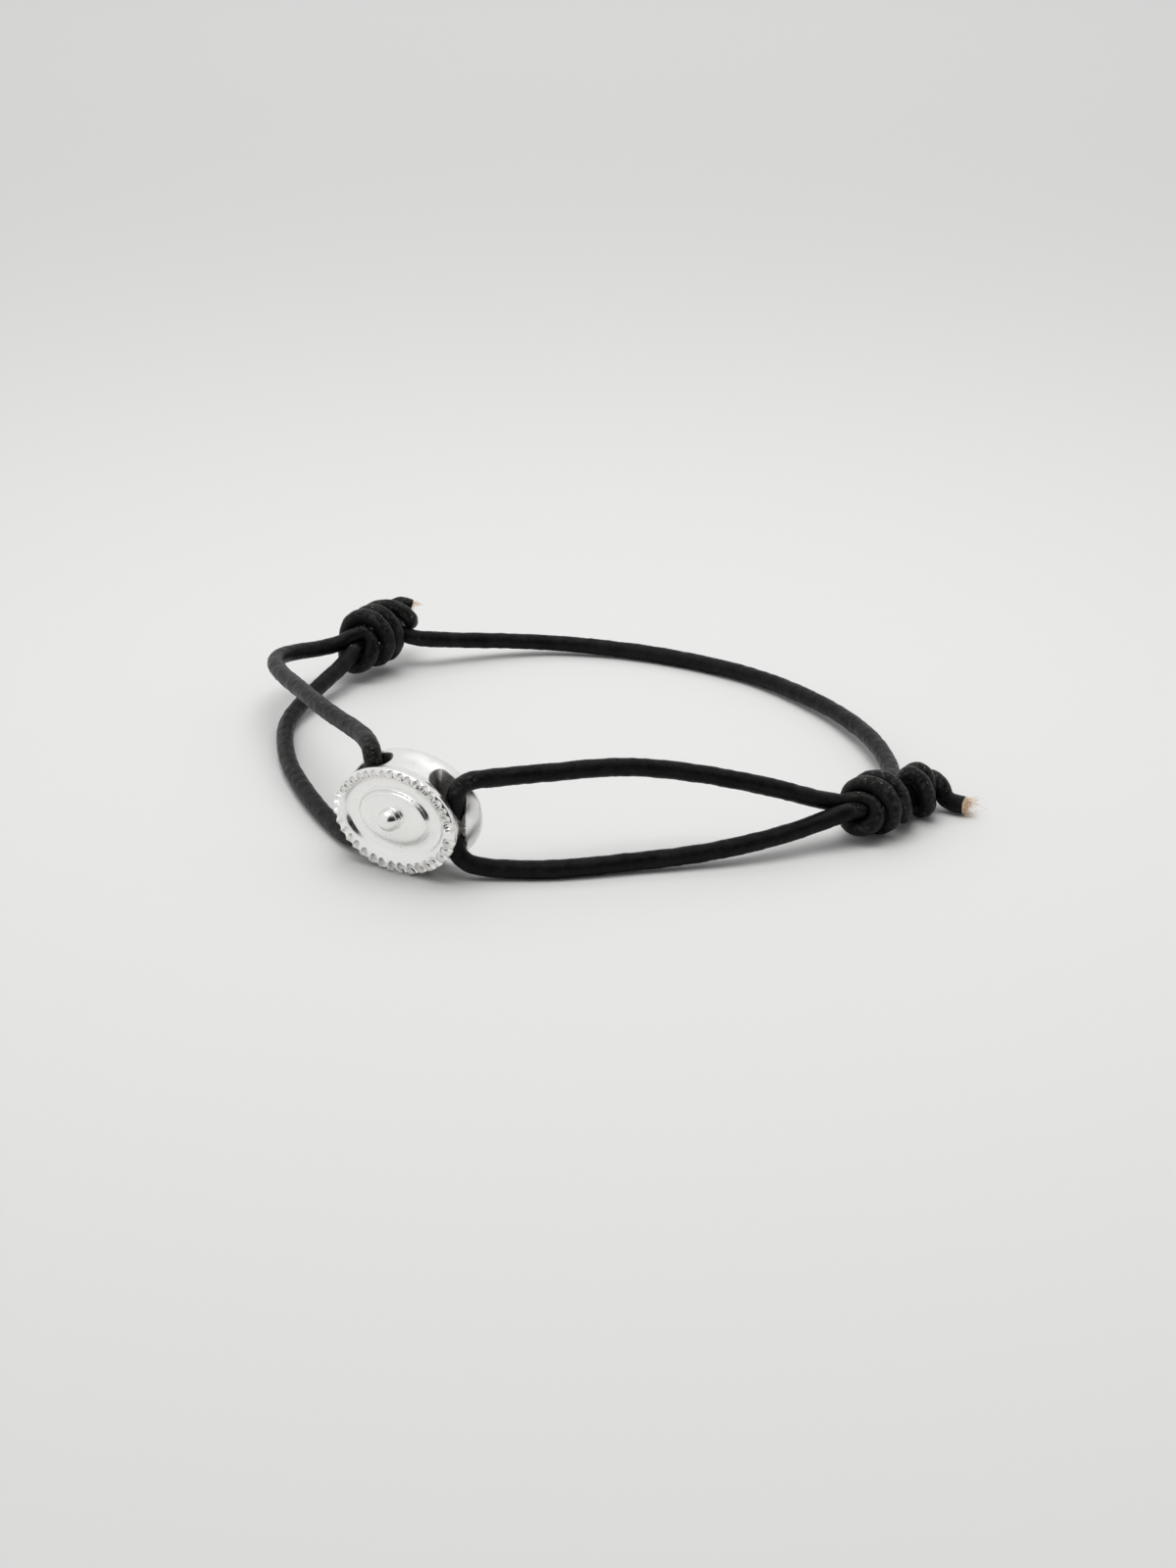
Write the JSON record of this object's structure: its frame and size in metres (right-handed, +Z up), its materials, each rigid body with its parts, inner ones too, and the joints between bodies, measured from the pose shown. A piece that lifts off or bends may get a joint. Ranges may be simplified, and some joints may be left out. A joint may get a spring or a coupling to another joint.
{
  "type": "leather bracelet",
  "caption": "Sliding-knot bracelet: a thin black leather cord through a small cast silver oval bead, tied to itself.",
  "frame": {"origin": "middle of the loop's outline, on the surface that the bracelet lies on", "axes": "+X along the loop's long way and the bead's length, from the left knot to the right knot; +Y from the bead to the back of the loop; +Z up, through the loop as the wrist goes"},
  "size_m": [0.0654, 0.0544, 0.0099],
  "materials": {
    "silver": "polished cast silver",
    "leather": "satin black"
  },
  "bodies": {
    "root": {"silver_bead": "silver", "leather_cord": "leather", "right_sliding_knot": "leather", "left_sliding_knot": "leather", "right_end_knot": "leather", "left_end_knot": "leather"}
  },
  "joints": []
}
